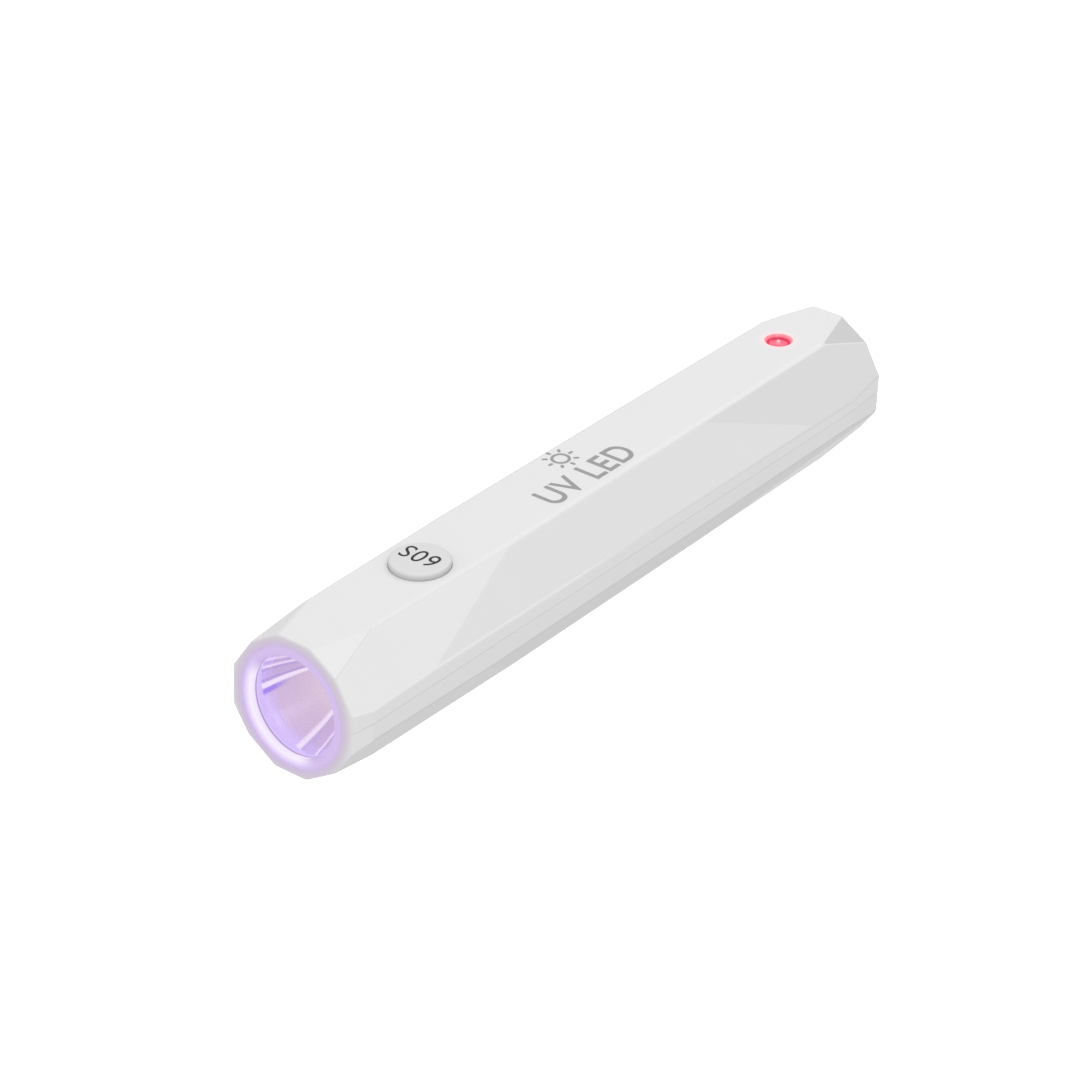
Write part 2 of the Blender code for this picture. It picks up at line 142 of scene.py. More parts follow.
# a ring extruded and scaled along a lathe profile of (radius, height) in millimetres
def turnProfile(name, profile, place, closed=False, steps=96):
    deselectAll()
    radius, height = profile[0]
    bpy.ops.mesh.primitive_circle_add(vertices=steps, radius=radius * mm)
    piece = bpy.context.active_object
    piece.name = name
    startEdit(piece)
    if not closed:
        bpy.ops.mesh.edge_face_add()
    bpy.ops.transform.translate(value=(0, 0, height * mm))
    corners = list(profile[1:])
    if closed:
        corners.append(profile[0])
    bpy.ops.mesh.select_mode(type="EDGE")
    for nextRadius, nextHeight in corners:
        lift = (0, 0, (nextHeight - height) * mm)
        bpy.ops.mesh.extrude_edges_move(TRANSFORM_OT_translate={"value": lift})
        grow = nextRadius / radius
        bpy.ops.transform.resize(value=(grow, grow, 1), center_override=(0, 0, nextHeight * mm))
        radius, height = nextRadius, nextHeight
    if not closed:
        bpy.ops.mesh.edge_face_add()
    endEdit()
    tidyMesh(piece)
    applyPlace(piece, place)
    return piece


def quarterRound(centreRadius, centreHeight, reach, startAngle, endAngle, count):
    corners = []
    for step in range(count + 1):
        angle = math.radians(startAngle + (endAngle - startAngle) * step / count)
        corners.append((centreRadius + reach * math.cos(angle), centreHeight + reach * math.sin(angle)))
    return corners


def finishPiece(piece, material, body, slotName, *replaced):
    piece.data.materials.clear()
    piece.data.materials.append(material)
    if replaced:
        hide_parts(*replaced)
    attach(piece, body)
    return piece


# node helpers

# an 8-bit screen colour as the linear colour that a socket takes
def linear(*levels):
    return tuple((level / 255 / 12.92) if level < 11 else ((level / 255 + 0.055) / 1.055) ** 2.4
                 for level in levels)


# ramp stops from screen tones at distances between a start and an end
def toneStops(tones, start, end):
    return [((far - start) / (end - start), linear(*tone)) for far, tone in tones]


def greyStops(levels):
    return [(spot, (level,) * 3) for spot, level in levels]


# gives a socket a number, a vector, a colour or another node's output
def feed(socket, value):
    if isinstance(value, bpy.types.NodeSocket):
        socket.id_data.links.new(value, socket)
    elif socket.type == "RGBA":
        socket.default_value = (*value, 1)
    else:
        socket.default_value = value


# a node with its settings, and its first sockets fed in their order
def addNode(tree, kind, *values, **settings):
    node = tree.nodes.new("ShaderNode" + kind)
    for name, value in settings.items():
        setattr(node, name, value)
    for socket, value in zip(node.inputs, values):
        feed(socket, value)
    return node


def newMaterial(name, colour, roughness, metallic=0.0):
    material = bpy.data.materials.new(name)
    material.use_nodes = True
    shader = material.node_tree.nodes["Principled BSDF"]
    feed(shader.inputs["Base Color"], colour)
    feed(shader.inputs["Roughness"], roughness)
    feed(shader.inputs["Metallic"], metallic)
    return material, material.node_tree, shader


def objectPlace(tree):
    return addNode(tree, "TexCoord").outputs["Object"]


def addNoise(tree, scale, stretch=(1, 1, 1)):
    mapping = addNode(tree, "Mapping", objectPlace(tree))
    feed(mapping.inputs["Scale"], stretch)
    noise = addNode(tree, "TexNoise", mapping.outputs["Vector"])
    feed(noise.inputs["Scale"], scale)
    feed(noise.inputs["Detail"], 3.0)
    return noise.outputs["Fac"]


def addRamp(tree, source, stops):
    ramp = addNode(tree, "ValToRGB", source)
    elements = ramp.color_ramp.elements
    elements.remove(elements[1])
    elements[0].position = stops[0][0]
    elements[0].color = (*stops[0][1], 1)
    for position, colour in stops[1:]:
        elements.new(position).color = (*colour, 1)
    return ramp.outputs["Color"]


def addRange(tree, source, fromLow, fromHigh, toLow=0.0, toHigh=1.0):
    return addNode(tree, "MapRange", source, fromLow, fromHigh, toLow, toHigh).outputs["Result"]


def addMix(tree, factor, first, second, blend="MIX"):
    mix = addNode(tree, "Mix", factor, data_type="RGBA", blend_type=blend)
    feed(mix.inputs[6], first)
    feed(mix.inputs[7], second)
    return mix.outputs[2]


def addSplit(tree, source):
    return tuple(addNode(tree, "SeparateXYZ", source).outputs)


# position in a piece's own axis: x and y across it, z out along it
def addLocal(tree, centre, turn=(0, 0, 0)):
    return addNode(tree, "Mapping", objectPlace(tree), centre, turn, vector_type="TEXTURE").outputs["Vector"]


def addRadius(tree, local):
    flat = addNode(tree, "VectorMath", local, (1, 1, 0), operation="MULTIPLY").outputs["Vector"]
    return addNode(tree, "VectorMath", flat, operation="LENGTH").outputs["Value"]


def roughen(tree, shader, noise, low, high):
    feed(shader.inputs["Roughness"], addRange(tree, noise, 0.3, 0.7, low, high))


def glow(shader, colour, strength):
    feed(shader.inputs["Emission Color"], colour)
    feed(shader.inputs["Emission Strength"], strength)


def addBump(tree, shader, source, strength, depth=0.00002):
    bump = addNode(tree, "Bump")
    feed(bump.inputs["Strength"], strength)
    feed(bump.inputs["Distance"], depth)
    feed(bump.inputs["Height"], source)
    feed(shader.inputs["Normal"], bump.outputs["Normal"])


# a moulded or metal finish: grain in colour, roughness and height
def grainFinish(name, colour, roughness, metallic=0.0, scale=2500, stretch=(1, 1, 1), spread=0.06,
                roughSpread=0.08, bump=0.2):
    material, tree, shader = newMaterial(name, colour, roughness, metallic)
    noise = addNoise(tree, scale, stretch)
    dark = tuple(channel * (1 - spread) for channel in colour)
    feed(shader.inputs["Base Color"], addRamp(tree, noise, [(0.3, dark), (0.7, colour)]))
    roughen(tree, shader, noise, roughness - roughSpread, roughness + roughSpread)
    addBump(tree, shader, noise, bump)
    return material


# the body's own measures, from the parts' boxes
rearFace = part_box("lower_shell")[1].x
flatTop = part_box("upper_shell")[1].z
capLow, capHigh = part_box("button_cap")
dishLow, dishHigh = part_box("indicator_lens")
halfHeight = flatTop / 2
faceTilt = math.radians(3.9)
bodyLength = 130.9    # at the middle of its height, in millimetres
noseX = rearFace - bodyLength * mm
buttonX = (capLow.x + capHigh.x) / 2
buttonSide = -0.3 * mm
indicatorX = (dishLow.x + dishHigh.x) / 2 + 0.25 * mm
indicatorSide = 0.2 * mm


def at(along, side, up):
    return Vector((noseX + along * mm, side * mm, halfHeight + up * mm))


headCentre = at(0, 0, 0)
headTurn = (0, faceTilt - math.pi / 2, 0)
headPlace = Matrix.Translation(headCentre) @ Matrix.Rotation(headTurn[1], 4, "Y")
buttonPlace = Matrix.Translation((buttonX, buttonSide, flatTop))
indicatorPlace = Matrix.Translation((indicatorX, indicatorSide, flatTop))


# camera

cameraSet = {"azimuth": -51.04, "elevation": 30.795, "lens": 129.45, "sensor": 36, "distance": 0.5955,
             "aim": (-0.00605, 0.00188, 0.01085)}


# a camera or a light at a place, turned so that it looks the other way from a direction
def placeAimed(name, data, place, away):
    thing = bpy.data.objects.new(name, data)
    bpy.context.scene.collection.objects.link(thing)
    thing.location = place
    thing.rotation_euler = away.to_track_quat("Z", "Y").to_euler()
    return thing


def makeCamera():
    data = bpy.data.cameras.new("view")
    data.lens = cameraSet["lens"]
    data.sensor_width = cameraSet["sensor"]
    data.clip_start = 0.01
    turn = math.radians(cameraSet["azimuth"])
    rise = math.radians(cameraSet["elevation"])
    back = Vector((math.sin(turn) * math.cos(rise), -math.cos(turn) * math.cos(rise), math.sin(rise)))
    place = Vector(cameraSet["aim"]) + back * cameraSet["distance"]
    bpy.context.scene.camera = placeAimed("view", data, place, back)


makeCamera()
print("camera placed")


# floor and light

studioSet = {"base": 0.77, "toward": (-0.22, -0.056, 0.109), "floorSize": 6.0, "floorLevel": -0.0002,
             "floorColour": (0.9, 0.9, 0.9), "floorRoughness": 0.9, "floorGlow": 0.85}


def makeStudio():
    world = bpy.data.worlds.new("studio")
    bpy.context.scene.world = world
    world.use_nodes = True
    tree = world.node_tree
    direction = addNode(tree, "TexCoord").outputs["Generated"]
    dot = addNode(tree, "VectorMath", direction, studioSet["toward"], operation="DOT_PRODUCT")
    level = addNode(tree, "Math", dot.outputs["Value"], studioSet["base"], operation="ADD")
    feed(tree.nodes["Background"].inputs["Color"], (1, 1, 1))
    feed(tree.nodes["Background"].inputs["Strength"], level.outputs[0])

    deselectAll()
    bpy.ops.mesh.primitive_plane_add(size=studioSet["floorSize"], location=(0, 0, studioSet["floorLevel"]))
    floor = bpy.context.active_object
    floor.name = "floor"
    material, tree, shader = newMaterial("paleFloor", studioSet["floorColour"], studioSet["floorRoughness"])
    feed(shader.inputs["Specular IOR Level"], 0)
    glow(shader, (1, 1, 1), studioSet["floorGlow"])
    floor.data.materials.append(material)
    floor.visible_diffuse = False
    floor.visible_glossy = False


# soft boxes: the main one in front, and one that catches the ridges from behind
softBoxes = {"key": {"place": (-0.35, -0.45, 0.55), "aim": (-0.02, 0, 0.01), "size": 0.35, "power": 0.6},
             "ridge": {"place": (0.62, -0.10, 0.70), "aim": (0, 0, 0.01), "size": 0.30, "power": 1.2}}


def makeSoftBoxes():
    for name, values in softBoxes.items():
        data = bpy.data.lights.new(name, "AREA")
        data.shape = "DISK"
        data.size = values["size"]
        data.energy = values["power"]
        place = Vector(values["place"])
        light = placeAimed(name, data, place, place - Vector(values["aim"]))
        light.visible_camera = False


bpy.context.scene.view_settings.view_transform = "Standard"
makeStudio()
makeSoftBoxes()
print("floor and light placed")


# finishes of the casing and the ring, with radii, depths and distances in millimetres

# the casing's finish carries painted shade on its facets and band edges, and painted glow at the lens end
# and round the indicator
casingSet = {"colour": (0.83, 0.83, 0.835), "roughness": 0.42, "grain": 9000, "grainBump": 0.06,
             "cloud": 60, "cloudTone": 0.99, "borderFrom": 8.0, "borderTo": 12.0,
             # painted violet glow on the lens end's border, fading to a painted grey at its outer edge
             "borderGlowTones": [(8.0, (206, 184, 232)), (9.5, (206, 185, 230)), (10.0, (205, 189, 217)),
                             (10.5, (207, 196, 211)), (11.0, (212, 206, 212)), (11.5, (220, 217, 220))],
             "faceDepth": (-0.55, -0.10), "faceColour": (0.10, 0.09, 0.11), "glow": 0.80,
             # painted red glow round the indicator
             "halo": [(0.0, (0.20, 0.02, 0.035)), (0.35, (0.10, 0.008, 0.015)), (1.0, (0.0, 0.0, 0.0))],
             "haloFrom": 2.3, "haloTo": 3.8,
             "paintedEdgeShade": [(0.0, 0.545), (0.40, 0.53), (0.55, 0.40), (1.0, 0.36)]}


def makeCasingFinish():
    base = casingSet["colour"]
    material, tree, shader = newMaterial("satinWhitePlastic", base, casingSet["roughness"])
    noise = addNoise(tree, casingSet["grain"])
    cloud = addNoise(tree, casingSet["cloud"])
    dark = tuple(channel * casingSet["cloudTone"] for channel in base)
    plastic = addRamp(tree, cloud, [(0.3, dark), (0.7, base)])

    # painted shade: facets differ slightly in tone by painted light and shade, and the band's edges run from
    # painted light at the front to painted shade at the rear
    facet = addNode(tree, "Attribute", attribute_name="facetTone").outputs["Fac"]
    edge = addNode(tree, "Attribute", attribute_name="paintedEdgeSide").outputs["Fac"]
    length = addRange(tree, addSplit(tree, objectPlace(tree))[0], noseX, rearFace)
    shift = addRamp(tree, length, greyStops(casingSet["paintedEdgeShade"]))
    centred = addNode(tree, "Math", shift, 0.5, operation="SUBTRACT").outputs[0]
    level = addNode(tree, "Math", edge, centred, facet, operation="MULTIPLY_ADD").outputs[0]
    shade = addNode(tree, "VectorMath", plastic, operation="SCALE")
    feed(shade.inputs["Scale"], level)

    # painted glow: the border of the lens end has a painted violet glow, and the flat top has a painted red
    # glow round the indicator
    local = addLocal(tree, headCentre, headTurn)
    start, end = casingSet["borderFrom"], casingSet["borderTo"]
    radius = addRange(tree, addRadius(tree, local), start * mm, end * mm)
    border = addRamp(tree, radius, toneStops(casingSet["borderGlowTones"], start, end))
    deep, shallow = casingSet["faceDepth"]
    nearFace = addRange(tree, addSplit(tree, local)[2], deep * mm, shallow * mm)
    feed(shader.inputs["Base Color"],
         addMix(tree, nearFace, shade.outputs["Vector"], casingSet["faceColour"]))
    lamp = addRadius(tree, addLocal(tree, indicatorPlace.translation))
    away = addRange(tree, lamp, casingSet["haloFrom"] * mm, casingSet["haloTo"] * mm)
    halo = addRamp(tree, away, casingSet["halo"])
    glow(shader, addMix(tree, nearFace, halo, border), casingSet["glow"])
    roughen(tree, shader, noise, 0.38, 0.46)
    addBump(tree, shader, noise, casingSet["grainBump"], 0.00001)
    return material


# the ring is dusky violet, with a painted highlight along the low side of its roll and a painted dark line
# of shade where the bowl begins, each tone at its depth in millimetres behind the lens end
ringSet = {"plain": [(0.0, (206, 185, 230)), (0.12, (206, 182, 233)), (1.35, (208, 183, 236))],
           "bright": [(0.0, (206, 185, 230)), (0.045, (207, 186, 232)), (0.085, (216, 193, 247)),
                      (0.13, (236, 218, 254)), (0.22, (246, 239, 255)), (0.95, (245, 236, 255)),
                      (1.15, (238, 221, 253)), (1.24, (232, 212, 250))],
           "bowl": [(1.30, (158, 138, 188)), (1.48, (158, 138, 188)), (1.56, (217, 198, 253)),
                    (1.9, (216, 194, 252))],
           "toward": (-0.669, 0.743, 0), "shadeFrom": 1.3, "shadeTo": 4.2, "deepest": 2.0,
           "colour": (0.10, 0.09, 0.11), "glow": 0.86}


# the ring's plain look and its look with the painted highlight are mixed by how far round towards its low
# side a point lies
def makeRingFinish():
    material, tree, shader = newMaterial("glowingRing", ringSet["colour"], 0.4)
    local = addLocal(tree, headCentre, headTurn)
    inward = addRange(tree, addSplit(tree, local)[2], 0.0, -ringSet["deepest"] * mm)
    looks = [toneStops(ringSet[kind] + ringSet["bowl"], 0.0, ringSet["deepest"])
             for kind in ("plain", "bright")]
    plain, bright = [addRamp(tree, inward, stops) for stops in looks]
    toward = addNode(tree, "VectorMath", local, ringSet["toward"], operation="DOT_PRODUCT")
    highlightSide = addRange(tree, toward.outputs["Value"], ringSet["shadeFrom"] * mm, ringSet["shadeTo"] * mm)
    glow(shader, addMix(tree, highlightSide, plain, bright), ringSet["glow"])
    noise = addNoise(tree, 4000)
    roughen(tree, shader, noise, 0.35, 0.5)
    addBump(tree, shader, noise, 0.05)
    return material


casingFinish = makeCasingFinish()
ringFinish = makeRingFinish()


# casing: a block trimmed by the body's facets, softened, then split and hollowed

# places along the body and across it, and corners by their distance to the side and up from its middle
bodySet = {"bandHalfWidth": 11.9, "wall": 1.6, "rearWall": 1.8, "rimTopHalf": 2.95, "rearTopHalf": 2.7,
           "flatEdge": {"nose": (11.3, 6.15), "front": (41.9, 6.6), "rear": (88.4, 6.4),
                        "tail": (121.3, 6.154)},
           "upperBand": {"front": (17.9, 2.45), "rear": (112.3, 1.794)},
           "lowerBand": {"front": (30.0, 3.3), "rear": (104.0, 3.0)},
           "rimCorner": (8.1, 7.7), "rearCorner": (8.25, 7.55),
           "leadIn": (4.5, 11.3), "tailOff": (122.8, 11.2), "rearTilt": 4.4, "rearPivot": -4.0,
           "mouthRadius": 9.46, "mouthDepth": 4.8, "cavityStart": 4.2,
           "seam": 0.022, "lip": 0.6, "lipHeight": 1.2, "lipStart": 6.0, "lipPlay": 0.3}
softness = {"flat": 0.5, "flatEnd": 0.22, "band": 0.3, "rim": 0.42, "rear": 0.35, "crease": 0.09}
tallHalf = halfHeight / mm
noseOverhang = tallHalf * math.tan(faceTilt)
frontNormal = Vector((-math.cos(faceTilt), 0, math.sin(faceTilt)))
rearTilt = math.radians(bodySet["rearTilt"])
rearNormal = Vector((math.cos(rearTilt), 0, -math.sin(rearTilt)))


# the rear face leans back above its pivot
def rearAt(up):
    return bodyLength + (up - bodySet["rearPivot"]) * math.tan(rearTilt)


def facetPlane(first, second, third, inset):
    first, second, third = at(*first), at(*second), at(*third)
    normal = (second - first).cross(third - first).normalized()
    if normal.dot(first - at(bodyLength / 2, 0, 0)) < 0:
        normal = -normal
    return first - normal * inset * mm, normal


# the planes that trim the block: for each half its flat and, on each side, five facets from lens end to
# rear, and then the band on each side with its two end slopes
def facetPlanes(inset):
    planes = []
    wide = bodySet["bandHalfWidth"]
    cornerSide, cornerUp = bodySet["rimCorner"]
    rearSide, rearUp = bodySet["rearCorner"]
    for rise, band in ((1, bodySet["upperBand"]), (-1, bodySet["lowerBand"])):
        flat = tallHalf * rise
        planes.append((at(0, 0, flat - inset * rise), Vector((0, 0, rise))))
        for side in (1, -1):
            edge = {spot: (x, side * y, flat) for spot, (x, y) in bodySet["flatEdge"].items()}
            rib = {spot: (x, side * wide, rise * up) for spot, (x, up) in band.items()}
            rimTop = (rise * noseOverhang, side * bodySet["rimTopHalf"], flat)
            rimCorner = (cornerUp * rise * math.tan(faceTilt), side * cornerSide, rise * cornerUp)
            rearTop = (rearAt(flat), side * bodySet["rearTopHalf"], flat)
            rearCorner = (rearAt(rise * rearUp), side * rearSide, rise * rearUp)
            planes.append(facetPlane(rimTop, rimCorner, edge["nose"], inset))
            planes.append(facetPlane(edge["nose"], edge["front"], rib["front"], inset))
            planes.append(facetPlane(edge["front"], edge["rear"], rib["front"], inset))
            planes.append(facetPlane(edge["rear"], edge["tail"], rib["rear"], inset))
            planes.append(facetPlane(edge["tail"], rearCorner, rearTop, inset))
    leadAlong, leadSide = bodySet["leadIn"]
    tailAlong, tailSide = bodySet["tailOff"]
    for side in (1, -1):
        planes.append((at(0, side * (wide - inset), 0), Vector((0, side, 0))))
        planes.append(facetPlane((0, side * leadSide, 0), (leadAlong, side * wide, 0),
                                 (0, side * leadSide, 5), inset))
        planes.append(facetPlane((tailAlong, side * wide, 0), (bodyLength, side * tailSide, 0),
                                 (tailAlong, side * wide, 5), inset))
    return planes


def trimmedBlock(name, inset, start, end, bottom, top, front=None, rear=None):
    deselectAll()
    bpy.ops.mesh.primitive_cube_add(size=0.2)
    piece = bpy.context.active_object
    piece.name = name
    startEdit(piece)
    planes = facetPlanes(inset)
    planes += [(at(start, 0, 0), front or Vector((-1, 0, 0))), (at(end, 0, 0), rear or Vector((1, 0, 0)))]
    planes += [(at(0, 0, bottom), Vector((0, 0, -1))), (at(0, 0, top), Vector((0, 0, 1)))]
    for place, normal in planes:
        bpy.ops.mesh.select_all(action="SELECT")
        bpy.ops.mesh.bisect(plane_co=place, plane_no=normal, use_fill=True, clear_outer=True,
                            threshold=0.0000001)
    endEdit()
    tidyMesh(piece)
    return piece


def faceKind(normal):
    if abs(normal.z) > 0.999:
        return "flat"
    if abs(normal.y) > 0.995:
        return "band"
    if normal.x > 0.99:
        return "rear"
    if normal.dot(frontNormal) > 0.999:
        return "rim"
    return "facet"


def facesByEdge(mesh):
    touching = {edge.key: [] for edge in mesh.edges}
    for face in mesh.polygons:
        for key in face.edge_keys:
            touching[key].append(face)
    return touching


# every edge gets the softness of the two faces it joins
def softenEdges(piece):
    mesh = piece.data
    weights = mesh.attributes.new("bevel_weight_edge", "FLOAT", "EDGE")
    touching = facesByEdge(mesh)
    rearMost = at(bodySet["flatEdge"]["tail"][0] - 1, 0, 0).x
    for edge in mesh.edges:
        first, second = [face.normal for face in touching[edge.key]]
        kinds = {faceKind(first), faceKind(second)}
        angle = math.degrees(first.angle(second))
        weight = softness["crease"] if angle > 6 else 0.0
        if "rim" in kinds:
            weight = softness["rim"]
        elif "rear" in kinds:
            weight = softness["rear"]
        elif "flat" in kinds:
            start = min(mesh.vertices[index].co.x for index in edge.vertices)
            weight = softness["flatEnd" if start > rearMost else "flat"]
        elif "band" in kinds and "facet" in kinds:
            weight = softness["band"]
        if angle < 2.6:
            weight = 0.0
        weights.data[edge.index].value = weight
    bevel = piece.modifiers.new("softened edges", "BEVEL")
    bevel.limit_method = "WEIGHT"
    bevel.width = mm
    bevel.segments = 4
    bevel.use_clamp_overlap = True
    applyModifiers(piece)


# ribs in the lower half, each with its start, end and top
ribs = (("headRib", 15.4, 16.7, -1.0), ("frontStop", 39.5, 40.8, -1.0), ("frontCradle", 51.0, 52.5, -4.85),
        ("rearCradle", 85.0, 86.5, -4.85), ("rearStop", 96.5, 97.8, -1.0))
holes = (("buttonHole", buttonPlace, 4.75), ("indicatorHole", indicatorPlace, 2.33))
holeFlare = 0.06
bossSet = {"spots": (37.6, 108.0), "side": -4.4, "radius": 2.0, "low": 6.55, "high": 9.7,
           "bore": 1.1, "boreEnd": 9.2}
sinkRoom = {"radius": 7.2, "start": -18, "end": -14.5}
cellRoom = {"radius": 7.3, "start": 45, "end": 95, "up": -1.9}
portSet = {"start": 126.9, "end": 131.9, "width": 9.3, "height": 3.55, "up": 3.55}


def roundBar(name, radius, start, end, steps=48):
    length = (end - start).length / mm
    turn = Vector((0, 0, 1)).rotation_difference(end - start).to_matrix().to_4x4()
    return turnProfile(name, [(radius, 0), (radius, length)], Matrix.Translation(start) @ turn, steps=steps)


# a flat-sided bar with round ends, lying along X between two stations
def roundEndedBar(name, start, end, width, height, up):
    piece = makeBlock(name, at(start, -width / 2, up - height / 2), at(end, width / 2, up + height / 2))
    nearlyHalf = 0.4925
    selectEdges(piece, lambda first, second: abs(first.x - second.x) > 0.5 * mm)
    bpy.ops.mesh.bevel(offset=nearlyHalf * height * mm, segments=10, affect="EDGES")
    endEdit()
    tidyMesh(piece)
    return piece


# large facets that meet at a slight angle keep a sharp edge between them
def markFacetCreases(piece):
    touching = facesByEdge(piece.data)
    large = 6 * mm * mm
    slight = math.radians(0.4)
    for edge in piece.data.edges:
        faces = touching[edge.key]
        if len(faces) == 2 and min(face.area for face in faces) > large:
            if faces[0].normal.angle(faces[1].normal) > slight:
                edge.use_edge_sharp = True


# painted shade: tones of painted light and shade for each half's five facets from lens end to rear, and for
# the narrow faces between them
facetTones = {"upper": (0.985, 1.0, 0.935, 0.885, 0.745), "upperFar": (0.985, 1.0, 0.935, 0.885, 0.95),
              "lower": (0.96, 1.035, 1.01, 1.17, 0.96), "lowerBand": 0.985, "creaseShade": 0.90,
              "ridge": 0.965, "lowerEdgeShade": 0.88}


# each facet's plane with its tone of painted shade, in the order that facetPlanes makes them
def paintedShadePlanes():
    planes = facetPlanes(0)
    toned = []
    for farSide, nearSide in (("upperFar", "upper"), ("lower", "lower")):
        planes.pop(0)
        for tone in facetTones[farSide] + facetTones[nearSide]:
            toned.append((*planes.pop(0), tone))
    return toned


# painted shade goes on each face by the facet plane it lies in; the narrow faces are told by their slope,
# their height and how far to the side they are
def paintShadeOnFacets(piece):
    mesh = piece.data
    toned = paintedShadePlanes()
    tones = mesh.attributes.new("facetTone", "FLOAT", "FACE")
    sides = mesh.attributes.new("paintedEdgeSide", "FLOAT", "FACE")
    creaseStart = at(*bodySet["flatEdge"]["nose"], tallHalf)
    creaseRun = (at(0, *bodySet["rimCorner"]) - creaseStart).normalized()
    for face in mesh.polygons:
        tone, paintedEdgeSide = 1.0, 0.0
        centre, normal = face.center, face.normal
        for place, facing, level in toned:
            if abs((centre - place).dot(facing)) < 0.012 * mm and normal.dot(facing) > 0.9999:
                tone = level
        sideways = abs(normal.y)
        wide = abs(centre.y) / mm
        up = (centre.z - halfHeight) / mm
        area = face.area / mm / mm
        if sideways > 0.995 and up < 0 and wide > 11:
            tone = facetTones["lowerBand"]
        onBandEdge = 0.86 < sideways < 0.995 and abs(normal.z) > 0.1 and wide > 11 and 1.5 < abs(up) < 4
        if onBandEdge and up > 0:
            paintedEdgeSide = 1.0
        elif onBandEdge:
            tone = facetTones["lowerEdgeShade"]
        besideFlat = wide < 7.5 and up > tallHalf - 0.6 and area < 30
        if besideFlat and tone == 1.0 and 0.2 < sideways < 0.995 and 0.58 < normal.z < 0.999:
            tone = facetTones["ridge"]
        beside = Vector((centre.x, abs(centre.y), centre.z)) - creaseStart
        offCrease = (beside - creaseRun * beside.dot(creaseRun)).length / mm
        if area < 2 and up > 0 and offCrease < 0.2:
            tone = facetTones["creaseShade"]
        tones.data[face.index].value = tone
        sides.data[face.index].value = paintedEdgeSide


# the block halved at the seam, each half hollowed and open at the lens end
def makeHalves(cavityEnd):
    outside = tallHalf + 1
    start, wall = bodySet["cavityStart"], bodySet["wall"]
    lower = trimmedBlock("casing_lower", 0, 0, rearAt(0), -outside, outside, frontNormal, rearNormal)
    softenEdges(lower)
    cavity = trimmedBlock("cavity", wall, start, cavityEnd, -outside, outside)
    for name, ribStart, ribEnd, top in ribs:
        boolean(cavity, trimmedBlock(name, wall / 2, ribStart, ribEnd, -outside, top))
    radius, depth = bodySet["mouthRadius"], bodySet["mouthDepth"]
    mouth = turnProfile("mouth", [(radius + 0.12, 3), (radius + 0.12, 0.0), (radius, -0.12), (radius, -2.0),
                                  (9.7, -2.05), (9.7, -depth)], headPlace, steps=128)
    pick(lower)
    bpy.ops.object.duplicate()
    upper = bpy.context.active_object
    upper.name = "casing_upper"
    for piece, rise in ((upper, 1), (lower, -1)):
        startEdit(piece)
        bpy.ops.mesh.bisect(plane_co=at(0, 0, rise * bodySet["seam"]), plane_no=(0, 0, -rise),
                            use_fill=True, clear_outer=True, threshold=0.0000001)
        endEdit()
        tidyMesh(piece)
        boolean(piece, cavity, keepTool=rise > 0)
        boolean(piece, mouth, keepTool=rise > 0)
    return upper, lower


# the lower half's lip stands in a groove of the upper half
def makeLip(upper, lower, cavityEnd):
    inset, play = bodySet["wall"] - bodySet["lip"], bodySet["lipPlay"]
    start, end, height = bodySet["lipStart"], cavityEnd + bodySet["lip"], bodySet["lipHeight"]
    boolean(upper, trimmedBlock("lipRoom", inset - play, start - play, end + play, -1, height + play))
    lip = trimmedBlock("lip", inset, start, end, -1.5, height)
    boolean(lip, trimmedBlock("lipInner", bodySet["wall"], bodySet["cavityStart"], cavityEnd, -2, 3))
    boolean(lower, lip, "UNION")


# room for the heat sink and the cell, which come near the wall
def makeRooms(lower):
    radius, start, end = sinkRoom["radius"], sinkRoom["start"], sinkRoom["end"]
    boolean(lower, turnProfile("sinkRoom", [(radius, start), (radius, end)], headPlace, steps=48))
    up = cellRoom["up"]
    boolean(lower, roundBar("cellRoom", cellRoom["radius"], at(cellRoom["start"], 0, up),
                            at(cellRoom["end"], 0, up), 64))


def makeBossesAndHoles(upper):
    side, low, high = bossSet["side"], bossSet["low"], bossSet["high"]
    for along in bossSet["spots"]:
        boss = roundBar("boss", bossSet["radius"], at(along, side, low), at(along, side, high), 32)
        boolean(upper, boss, "UNION")
        end = at(along, side, bossSet["boreEnd"])
        boolean(upper, roundBar("bore", bossSet["bore"], at(along, side, 0), end, 24))
    for name, place, radius in holes:
        outer = radius + holeFlare
        profile = [(radius, -3), (radius, -holeFlare)]
        profile += quarterRound(outer, -holeFlare, holeFlare, 180, 90, 4)[1:] + [(outer, 1)]
        boolean(upper, turnProfile(name, profile, place, steps=96))
    boolean(upper, roundEndedBar("port", portSet["start"], portSet["end"], portSet["width"],
                                 portSet["height"], portSet["up"]))


def makeCasing():
    cavityEnd = bodyLength - bodySet["rearWall"]
    upper, lower = makeHalves(cavityEnd)
    makeLip(upper, lower, cavityEnd)
    makeRooms(lower)
    makeBossesAndHoles(upper)
    for piece, node in ((upper, "upper_shell"), (lower, "lower_shell")):
        startEdit(piece)
        bpy.ops.mesh.remove_doubles(threshold=0.0000005)
        bpy.ops.mesh.dissolve_degenerate(threshold=0.0000005)
        endEdit()
        smoothByAngle(piece, 32)
        markFacetCreases(piece)
        weightNormals(piece)
        paintShadeOnFacets(piece)
        finishPiece(piece, casingFinish, "lamp", "white_shell", node)


makeCasing()
print("casing made")


# lens end: ring, seal, window and bowl

